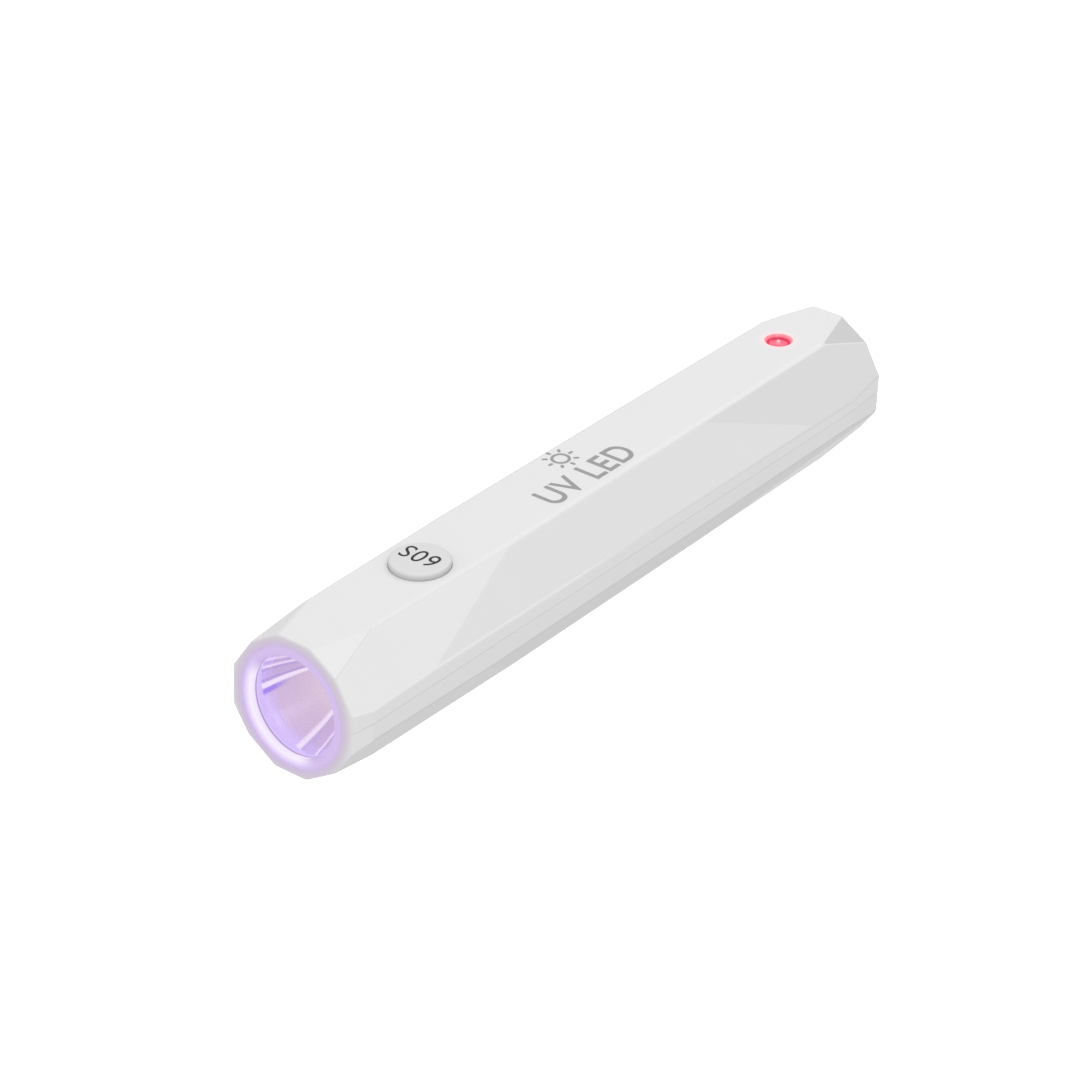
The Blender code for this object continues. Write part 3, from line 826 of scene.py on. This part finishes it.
# radii, and depths behind the lens end's face
headSet = {"ringOuter": 9.42, "rollStart": 8.9, "opening": 8.0, "ringFront": 0.04, "rollFront": 0.11,
           "rollDepth": 0.48, "ringBack": 1.9, "ringEdge": 0.10,
           "sealInner": 8.9, "sealFront": 2.06, "sealBack": 2.5, "sealEdge": 0.08, "rim": 9.3,
           "crownFront": 2.3, "windowFront": 2.8, "windowEdge": 2.9, "windowBack": 3.8, "crownRadius": 8.0,
           "bowlFront": 3.9, "bowlBack": 12.0, "bowlMouth": 9.0, "throat": 2.6, "bowlFoot": 5.2,
           "bowlOutside": [(9.3, -4.7), (8.45, -4.7), (8.4, -6.4), (7.3, -9.0)]}


# a rim with a roll that dips in towards the opening
def makeRing():
    outer, opening, start = headSet["ringOuter"], headSet["opening"], headSet["rollStart"]
    front, back = headSet["rollFront"], headSet["ringBack"]
    profile = [(outer, -headSet["ringEdge"]), (outer - 0.06, -headSet["ringFront"])]
    for step in range(13):
        angle = math.radians(90 * step / 12)
        profile.append((opening + (start - opening) * (1 - math.sin(angle)),
                        -front - (headSet["rollDepth"] - front) * (1 - math.cos(angle))))
    profile += [(opening, -back), (outer, -back)]
    ring = turnProfile("glowing_ring", profile, headPlace, closed=True, steps=160)
    smoothByAngle(ring, 40)
    finishPiece(ring, ringFinish, "lamp", "frosted_ring", "head_ring")


def makeSeal():
    inner, rim, edge = headSet["sealInner"], headSet["rim"], headSet["sealEdge"]
    front, back = headSet["sealFront"], headSet["sealBack"]
    profile = [(inner + edge, -front), (rim, -front), (rim, -back), (inner + edge, -back),
               (inner, -back + edge), (inner, -front - edge)]
    seal = turnProfile("lens_gasket", profile, headPlace, closed=True, steps=128)
    smoothByAngle(seal, 30)
    rubber = grainFinish("darkRubber", (0.16, 0.11, 0.24), 0.7, bump=0.3)
    finishPiece(seal, rubber, "lamp", "dark_seal", "lens_seal")


# the window is slightly crowned
def makeWindow():
    rim, front, reach = headSet["rim"], headSet["windowFront"], headSet["crownRadius"]
    crown = front - headSet["crownFront"]
    middle = 0.3
    profile = []
    for step in range(13):
        radius = middle + (reach - middle) * step / 12
        profile.append((radius, -front + crown * (1 - (radius / reach) ** 2)))
    profile += [(rim - 0.1, -front), (rim, -headSet["windowEdge"]), (rim, -headSet["windowBack"])]
    window = turnProfile("clear_window", profile, headPlace, steps=128)
    smoothByAngle(window, 30)
    finishPiece(window, makeWindowFinish(), "lamp", "clear_lens", "front_lens")


# the bowl's inside is a parabola from its throat out to its mouth
def makeBowl():
    mouth, throat = headSet["bowlMouth"], headSet["throat"]
    top, bottom = headSet["bowlFront"], headSet["bowlBack"]
    inside = []
    for step in range(25):
        share = step / 24
        radius = math.sqrt(throat ** 2 + (mouth ** 2 - throat ** 2) * share)
        inside.append((radius, -bottom + (bottom - top) * share))
    outside = [(headSet["rim"], -top)] + headSet["bowlOutside"] + [(headSet["bowlFoot"], -bottom)]
    cup = turnProfile("reflector_bowl", outside + inside, headPlace, closed=True, steps=160)
    smoothByAngle(cup, 30)
    finishPiece(cup, makeBowlFinish(), "lamp", "mirror_cup", "reflector")


# the window's alpha and tone change at its rim, which has a painted violet glow
windowSet = {"colour": (0.95, 0.92, 1.0), "roughness": 0.04, "clear": 0.05, "rim": 0.92, "glow": 0.85,
             "rimColour": (0.12, 0.10, 0.14), "rimGlowTone": (216, 194, 252), "rimStart": 9.0, "rimEnd": 9.2}


def makeWindowFinish():
    material, tree, shader = newMaterial("clearWindow", windowSet["colour"], windowSet["roughness"])
    local = addLocal(tree, headCentre, headTurn)
    edge = addRange(tree, addRadius(tree, local), windowSet["rimStart"] * mm, windowSet["rimEnd"] * mm)
    feed(shader.inputs["Alpha"], addRange(tree, edge, 0.0, 1.0, windowSet["clear"], windowSet["rim"]))
    feed(shader.inputs["Base Color"], addMix(tree, edge, windowSet["colour"], windowSet["rimColour"]))
    rimGlow = addMix(tree, edge, (0.0, 0.0, 0.0), linear(*windowSet["rimGlowTone"]))
    glow(shader, rimGlow, windowSet["glow"])
    noise = addNoise(tree, 900)
    roughen(tree, shader, noise, 0.03, 0.09)
    addBump(tree, shader, noise, 0.02)
    return material


# the bowl has a painted glow, violet near its mouth and dusky pink deeper in, with painted streaks of
# highlight and shade that run inwards, given as angles round the mouth with the look there and its share
bowlSet = {"colour": (0.10, 0.09, 0.11), "depthFrom": 4.0, "depthTo": 12.2,
           "depthTones": [(4.0, (215, 191, 252)), (4.7, (210, 185, 241)), (5.5, (206, 180, 219)),
                          (8.5, (208, 182, 212)), (10.5, (217, 192, 214)), (12.0, (224, 197, 222))],
           "streakHighlightTone": (249, 234, 255), "streakShadeTone": (168, 140, 212), "wedgeTone": (152, 116, 236),
           "glow": 0.9, "spread": (0.275, -0.116), "spreadFrom": 4.9,
           "paintedStreaks": [(58, "plain", 0), (65.5, "plain", 0), (67, "light", 0.55), (69, "light", 0.6),
                      (71, "dark", 0.6), (73.5, "dark", 0.35), (75.5, "dark", 0.2), (76.5, "light", 0.9),
                      (78.2, "light", 0.9), (79.6, "dark", 0.9), (81.8, "dark", 0.6), (84, "dark", 0.3),
                      (90, "dark", 0.3), (92.6, "dark", 0.8), (94.2, "dark", 0.7), (95.3, "light", 0.95),
                      (100.2, "light", 0.9), (101.3, "wedge", 1.0), (105.2, "wedge", 1.0),
                      (107.5, "plain", 0), (164.5, "plain", 0), (167, "light", 0.8), (171, "light", 0.9),
                      (172.8, "dark", 0.5), (176, "dark", 0.3), (186.5, "dark", 0.28),
                      (188.3, "dark", 0.35), (189.2, "light", 0.8), (191, "light", 0.75),
                      (192.4, "dark", 0.6), (194.5, "dark", 0.35), (198, "plain", 0)],
           "wedgeStart": -5.4, "wedgeEnd": -7.7}


def makeBowlFinish():
    material, tree, shader = newMaterial("violetMirror", bowlSet["colour"], 0.28, 0.5)
    local = addLocal(tree, headCentre, headTurn)
    depth = addSplit(tree, local)[2]
    mouth, deepest = bowlSet["depthFrom"], bowlSet["depthTo"]
    inward = addRange(tree, depth, -mouth * mm, -deepest * mm)
    colour = addRamp(tree, inward, toneStops(bowlSet["depthTones"], mouth, deepest))

    # the painted streaks open out as they run inwards, so the angle is taken about a centre that drifts with
    # depth
    spread = Vector((*bowlSet["spread"], 0))
    drift = addNode(tree, "VectorMath", depth, spread, local, operation="MULTIPLY_ADD").outputs["Vector"]
    start = spread * bowlSet["spreadFrom"] * mm
    centred = addNode(tree, "VectorMath", drift, start, operation="ADD").outputs["Vector"]
    around = addNode(tree, "TexGradient", centred, gradient_type="RADIAL").outputs["Fac"]
    turns = []
    for angle, look, share in bowlSet["paintedStreaks"]:
        shares = tuple(share if look == kind else 0.0 for kind in ("light", "dark", "wedge"))
        turns.append(((angle / 360 + 0.5) % 1.0, shares))
    turns.sort()
    light, dark, wedge = addSplit(tree, addRamp(tree, around, turns))
    fade = addRange(tree, depth, bowlSet["wedgeEnd"] * mm, bowlSet["wedgeStart"] * mm)
    wedge = addNode(tree, "Math", wedge, fade, operation="MULTIPLY").outputs[0]
    for share, tone in ((dark, "streakShadeTone"), (wedge, "wedgeTone"), (light, "streakHighlightTone")):
        colour = addMix(tree, share, colour, linear(*bowlSet[tone]))

    glow(shader, colour, bowlSet["glow"])
    roughen(tree, shader, addNoise(tree, 1500), 0.26, 0.3)
    return material


makeRing()
makeSeal()
makeWindow()
makeBowl()
print("lens end made")


# button cap with its marking

buttonSet = {"radius": 4.70, "rounding": 0.5, "proud": 1.08, "foot": -2.6, "colour": (0.75, 0.75, 0.755),
             "paintedSideShade": [(0.0, 0.50), (0.45, 0.58), (0.85, 0.68), (1.0, 0.75)],
             "plateHalfLength": 6.4, "plateHalfWidth": 4.5, "plateTop": -1.9,
             "text": "60S", "textHeight": 3.3, "textLength": 6.4, "textShift": 0.4, "textThicken": -0.002,
             "textSpacing": 1.08, "textInk": (0.012, 0.012, 0.013)}
inkThickness = 0.02


# a domed cap on a plate that can't pass its hole
def makeButton():
    radius, rounding, proud = buttonSet["radius"], buttonSet["rounding"], buttonSet["proud"]
    profile = [(0.5, proud), (radius - rounding - 0.4, proud - 0.005)]
    profile += quarterRound(radius - rounding, proud - 0.02 - rounding, rounding, 90, 0, 8)
    profile += [(radius, buttonSet["foot"])]
    cap = turnProfile("button_dome", profile, buttonPlace, steps=128)
    long, wide = buttonSet["plateHalfLength"] * mm, buttonSet["plateHalfWidth"] * mm
    low, high = flatTop + buttonSet["foot"] * mm, flatTop + buttonSet["plateTop"] * mm
    plate = makeBlock("plate", (buttonX - long, -wide, low), (buttonX + long, wide, high))
    boolean(cap, plate, "UNION")
    smoothByAngle(cap, 30)
    weightNormals(cap)
    finishPiece(cap, makeCapFinish(), "button", "button_white", "button_cap")


# painted shade: the cap's wall is darker towards the casing
def makeCapFinish():
    material, tree, shader = newMaterial("buttonPlastic", buttonSet["colour"], 0.45)
    up = addSplit(tree, objectPlace(tree))[2]
    height = addRange(tree, up, flatTop, flatTop + (buttonSet["proud"] - 0.06) * mm)
    tone = addRamp(tree, height, greyStops(buttonSet["paintedSideShade"]))
    noise = addNoise(tree, 7000)
    speckle = addRamp(tree, noise, greyStops([(0.3, 0.98), (0.7, 1.0)]))
    feed(shader.inputs["Base Color"], addMix(tree, 1.0, tone, speckle, "MULTIPLY"))
    roughen(tree, shader, noise, 0.40, 0.50)
    addBump(tree, shader, noise, 0.08)
    return material


# letters made to a height and a length, with their middle at a place
def flatText(name, words, height, length, place, thicken, spacing):
    deselectAll()
    bpy.ops.object.text_add()
    text = bpy.context.active_object
    text.name = name
    text.data.body = words
    text.data.align_x = "CENTER"
    text.data.align_y = "CENTER"
    text.data.offset = thicken
    text.data.extrude = 0.01
    text.data.resolution_u = 8
    text.data.space_character = spacing
    pick(text)
    bpy.ops.object.convert(target="MESH")
    piece = bpy.context.active_object
    corners = [vertex.co for vertex in piece.data.vertices]
    low = Vector([min(corner[axis] for corner in corners) for axis in range(3)])
    high = Vector([max(corner[axis] for corner in corners) for axis in range(3)])
    size = high - low
    fit = Matrix.Diagonal((length * mm / size.x, height * mm / size.y, inkThickness * mm / size.z, 1))
    piece.matrix_world = place @ fit @ Matrix.Translation((low + high) / -2)
    applyPlace(piece)
    tidyMesh(piece, 0.0000001)
    return piece


def makeButtonText():
    place = Matrix.Translation((buttonX + buttonSet["textShift"] * mm, 0,
                                flatTop + (buttonSet["proud"] + 0.5 * inkThickness) * mm))
    place = place @ Matrix.Rotation(math.radians(90), 4, "Z")
    text = flatText("button_marking", buttonSet["text"], buttonSet["textHeight"], buttonSet["textLength"],
                    place, buttonSet["textThicken"], buttonSet["textSpacing"])
    ink = grainFinish("blackInk", buttonSet["textInk"], 0.5, scale=5000, bump=0.05)
    finishPiece(text, ink, "button", "button_white")


makeButton()
makeButtonText()
print("button made")


# printed marking on the flat top: a plain type mark and a sign for light

printSet = {"text": "UV LED", "start": 54.3, "end": 74.7, "low": -5.2, "high": -0.2,
            "thicken": 0.012, "spacing": 1.05, "ink": (0.35, 0.35, 0.355),
            "signAlong": 65.8, "signSide": 3.3, "ringRadius": 1.35,
            "ringWidth": 0.5, "rays": 8, "rayStart": 1.95, "rayEnd": 2.9, "rayWidth": 0.5}


def makeTypeMark(ink):
    height = printSet["high"] - printSet["low"]
    length = printSet["end"] - printSet["start"]
    along, side = (printSet["start"] + printSet["end"]) / 2, (printSet["low"] + printSet["high"]) / 2
    place = Matrix.Translation(at(along, side, tallHalf + inkThickness / 2))
    text = flatText("top_marking", printSet["text"], height, length, place, printSet["thicken"],
                    printSet["spacing"])
    finishPiece(text, ink, "lamp", "white_shell")


# a ring with rays round it, joined into one piece
def makeLightSign(ink):
    radius, half = printSet["ringRadius"], printSet["ringWidth"] / 2
    profile = [(radius - half, 0), (radius + half, 0), (radius + half, inkThickness),
               (radius - half, inkThickness)]
    place = Matrix.Translation(at(printSet["signAlong"], printSet["signSide"], tallHalf))
    sign = turnProfile("light_sign", profile, place, closed=True, steps=64)
    rays = []
    start, end, width = printSet["rayStart"] * mm, printSet["rayEnd"] * mm, printSet["rayWidth"] * mm
    for index in range(printSet["rays"]):
        ray = makeBlock("ray", (start, -width / 2, 0), (end, width / 2, inkThickness * mm))
        selectEdges(ray, lambda first, second: abs(first.z - second.z) > inkThickness * mm / 2)
        bpy.ops.mesh.bevel(offset=width * 0.4, segments=4, affect="EDGES")
        endEdit()
        applyPlace(ray, place @ Matrix.Rotation(math.tau * index / printSet["rays"], 4, "Z"))
        rays.append(ray)
    deselectAll()
    for piece in rays + [sign]:
        piece.select_set(True)
    bpy.context.view_layer.objects.active = sign
    bpy.ops.object.join()
    finishPiece(sign, ink, "lamp", "white_shell")


topInk = grainFinish("greyInk", printSet["ink"], 0.5, scale=5000, bump=0.05)
makeTypeMark(topInk)
makeLightSign(topInk)
print("markings made")


# indicator: a dished red light pipe

dishSet = {"radius": 2.27, "rimLow": -0.06, "depth": -0.75, "floorRadius": 1.85, "cornerRadius": 0.25,
           "wallTop": 2.16, "base": (0.10, 0.01, 0.015), "spread": 2.5,
           "tip": [(0.1, -0.06), (0.24, -0.11), (0.32, -0.25), (0.34, -0.75)],
           # painted highlight at the middle, painted shade at the corner ring, painted light on the wall
           "tones": [(0.0, (250, 216, 220)), (0.26, (250, 205, 211)), (0.36, (250, 110, 134)),
                     (1.3, (250, 96, 124)), (1.62, (206, 36, 76)), (1.84, (206, 36, 76)),
                     (2.0, (246, 128, 142)), (2.2, (250, 150, 160))]}


def makeIndicator():
    radius, corner, depth = dishSet["radius"], dishSet["cornerRadius"], dishSet["depth"]
    wall, rim = dishSet["wallTop"], dishSet["rimLow"]
    dish = dishSet["tip"] + [(1.0, depth)]
    dish += quarterRound(dishSet["floorRadius"] - corner, depth + corner, corner, 270, 350, 6)
    edge = [(wall, rim - 0.06), (wall + 0.05, rim), (radius - 0.03, rim), (radius, rim - 0.04)]
    stem = [(radius, -1.9), (3.1, -1.9), (3.1, -2.5), (1.5, -2.5), (1.5, -3.3)]
    lens = turnProfile("indicator_dish", dish + edge + stem, indicatorPlace, steps=96)
    smoothByAngle(lens, 35)
    finishPiece(lens, makeDishFinish(), "lamp", "red_light", "indicator_lens")


# the red pipe's glow carries a painted highlight spot on a pink floor, a dark red painted shade in the
# corner and a lighter painted wall
def makeDishFinish():
    material, tree, shader = newMaterial("glowingRedPipe", dishSet["base"], 0.12)
    local = addLocal(tree, indicatorPlace.translation)
    scaled = addRange(tree, addRadius(tree, local), 0.0, dishSet["spread"] * mm)
    tones = toneStops(dishSet["tones"], 0.0, dishSet["spread"])
    glow(shader, addRamp(tree, scaled, tones), 1.0)
    roughen(tree, shader, addNoise(tree, 1200), 0.08, 0.2)
    return material


makeIndicator()
print("indicator made")


# charging socket

socketSet = {"start": 123.5, "end": 130.9, "width": 8.94, "height": 3.2, "wall": 0.3, "deep": 6.9,
             "tongueEnd": 130.1, "tongueStart": 123.9, "tongueHalf": 3.35, "tongueHeight": 0.7, "up": 3.55,
             "steel": (0.62, 0.62, 0.64), "plastic": (0.03, 0.03, 0.032), "contact": (0.85, 0.62, 0.28),
             "contactScale": 640}


def makeSocket():
    shell = roundEndedBar("socket_shell", socketSet["start"], socketSet["end"], socketSet["width"],
                          socketSet["height"], socketSet["up"])
    selectFaces(shell, lambda face: face.normal.x > 0.9)
    bpy.ops.mesh.inset(thickness=socketSet["wall"] * mm, depth=0)
    bpy.ops.mesh.extrude_region_move(TRANSFORM_OT_translate={"value": (-socketSet["deep"] * mm, 0, 0)})
    endEdit()
    tidyMesh(shell)
    smoothByAngle(shell, 35)
    steel = grainFinish("brushedSteel", socketSet["steel"], 0.3, 1.0, 1200, (0.1, 1, 1), 0.1, 0.1)
    finishPiece(shell, steel, "lamp", "steel", "usb_socket_shell")

    half, tall = socketSet["tongueHalf"], socketSet["tongueHeight"] / 2
    tongue = makeBlock("socket_tongue", at(socketSet["tongueStart"], -half, socketSet["up"] - tall),
                       at(socketSet["tongueEnd"], half, socketSet["up"] + tall))
    selectFaces(tongue, lambda face: face.normal.x > 0.9)
    bpy.ops.mesh.bevel(offset=0.15 * mm, segments=3, affect="EDGES")
    endEdit()
    smoothByAngle(tongue, 40)
    finishPiece(tongue, makeTongueFinish(), "lamp", "switch_black", "usb_socket_tongue")


def makeTongueFinish():
    material, tree, shader = newMaterial("tongueWithContacts", socketSet["plastic"], 0.45)
    across = addNode(tree, "TexWave", objectPlace(tree), bands_direction="Y")
    feed(across.inputs["Scale"], socketSet["contactScale"])
    stripe = addRange(tree, across.outputs["Fac"], 0.55, 0.65)
    feed(shader.inputs["Base Color"], addMix(tree, stripe, socketSet["plastic"], socketSet["contact"]))
    feed(shader.inputs["Metallic"], stripe)
    roughen(tree, shader, addNoise(tree, 3000), 0.3, 0.5)
    return material


makeSocket()
print("charging socket made")


# inner pieces keep their shapes and get their own finishes

def makeBoardFinish():
    material, tree, shader = newMaterial("greenBoard", (0.02, 0.17, 0.07), 0.4)
    cells = addNode(tree, "TexVoronoi", objectPlace(tree), distance="CHEBYCHEV", feature="DISTANCE_TO_EDGE")
    feed(cells.inputs["Scale"], 350)
    track = addRange(tree, cells.outputs["Distance"], 0.03, 0.06)
    feed(shader.inputs["Base Color"], addMix(tree, track, (0.05, 0.30, 0.12), (0.015, 0.15, 0.06)))
    addBump(tree, shader, track, 0.3, 0.00003)
    return material


def makeWrapFinish():
    material, tree, shader = newMaterial("cellWrap", (0.05, 0.22, 0.5), 0.3)
    noise = addNoise(tree, 300, (0.3, 1, 1))
    feed(shader.inputs["Base Color"],
         addRamp(tree, noise, [(0.3, (0.04, 0.18, 0.43)), (0.7, (0.06, 0.25, 0.55))]))
    roughen(tree, shader, noise, 0.22, 0.38)
    addBump(tree, shader, noise, 0.3, 0.00005)
    return material


def makeDomeFinish():
    material, tree, shader = newMaterial("violetDome", (0.55, 0.38, 0.95), 0.1)
    depth = addSplit(tree, addLocal(tree, headCentre, headTurn))[2]
    bright = addRange(tree, depth, -12.0 * mm, -10.6 * mm)
    glow(shader, addRamp(tree, bright, [(0.0, (0.35, 0.16, 0.85)), (1.0, (0.75, 0.6, 1.0))]), 1.5)
    return material


innerFinishes = {
    "emitterCeramic": {"colour": (0.86, 0.84, 0.76), "roughness": 0.5, "nodes": ["emitter_package"]},
    "turnedAluminium": {"colour": (0.74, 0.75, 0.77), "roughness": 0.32, "metallic": 1.0, "scale": 1500,
                        "stretch": (4, 1, 1), "nodes": ["star_board", "heat_sink"]},
    "greySiliconePad": {"colour": (0.42, 0.44, 0.47), "roughness": 0.85, "bump": 0.5,
                        "nodes": ["thermal_pad"]},
    "redInsulation": {"colour": (0.60, 0.03, 0.03), "roughness": 0.4,
                      "nodes": ["led_lead_red", "battery_lead_red"]},
    "blackInsulation": {"colour": (0.02, 0.02, 0.02), "roughness": 0.4,
                        "nodes": ["led_lead_black", "battery_lead_black"]},
    "switchPlastic": {"colour": (0.03, 0.03, 0.032), "roughness": 0.5, "nodes": ["switch_body"]},
    "chipEpoxy": {"colour": (0.022, 0.022, 0.024), "roughness": 0.5, "bump": 0.4, "spread": 0.3,
                  "nodes": ["controller_chip", "driver_transistor", "charger_chip"]},
    "darkFerrite": {"colour": (0.10, 0.10, 0.11), "roughness": 0.65, "bump": 0.6, "spread": 0.2,
                    "nodes": ["driver_inductor"]},
    "capacitorCeramic": {"colour": (0.52, 0.38, 0.24), "roughness": 0.5,
                         "nodes": ["driver_capacitor", "charger_capacitor"]},
    "redEmitter": {"colour": (0.80, 0.05, 0.06), "roughness": 0.3, "nodes": ["indicator_led"]},
    "turnedSteel": {"colour": (0.60, 0.60, 0.62), "roughness": 0.28, "metallic": 1.0, "scale": 2000,
                    "nodes": ["board_screw_front", "board_screw_rear", "switch_plunger"]},
    "nickelStrip": {"colour": (0.68, 0.66, 0.61), "roughness": 0.3, "metallic": 1.0, "scale": 900,
                    "stretch": (0.1, 1, 1), "nodes": ["cell_strip"]},
    "blackFoam": {"colour": (0.05, 0.05, 0.05), "roughness": 0.95, "scale": 1200, "bump": 1.0, "spread": 0.4,
                  "roughSpread": 0.04, "nodes": ["cell_end_pad"]}}


def dress(names, material):
    for name in names:
        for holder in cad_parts[name].material_slots:
            holder.material = material


def dressInnerPieces():
    for name, values in innerFinishes.items():
        values = dict(values)
        names = values.pop("nodes")
        dress(names, grainFinish(name, **values))
    dress(["main_board", "protection_board"], makeBoardFinish())
    dress(["battery_cell"], makeWrapFinish())
    dress(["emitter_dome"], makeDomeFinish())


dressInnerPieces()
print("inner pieces dressed")

deselectAll()
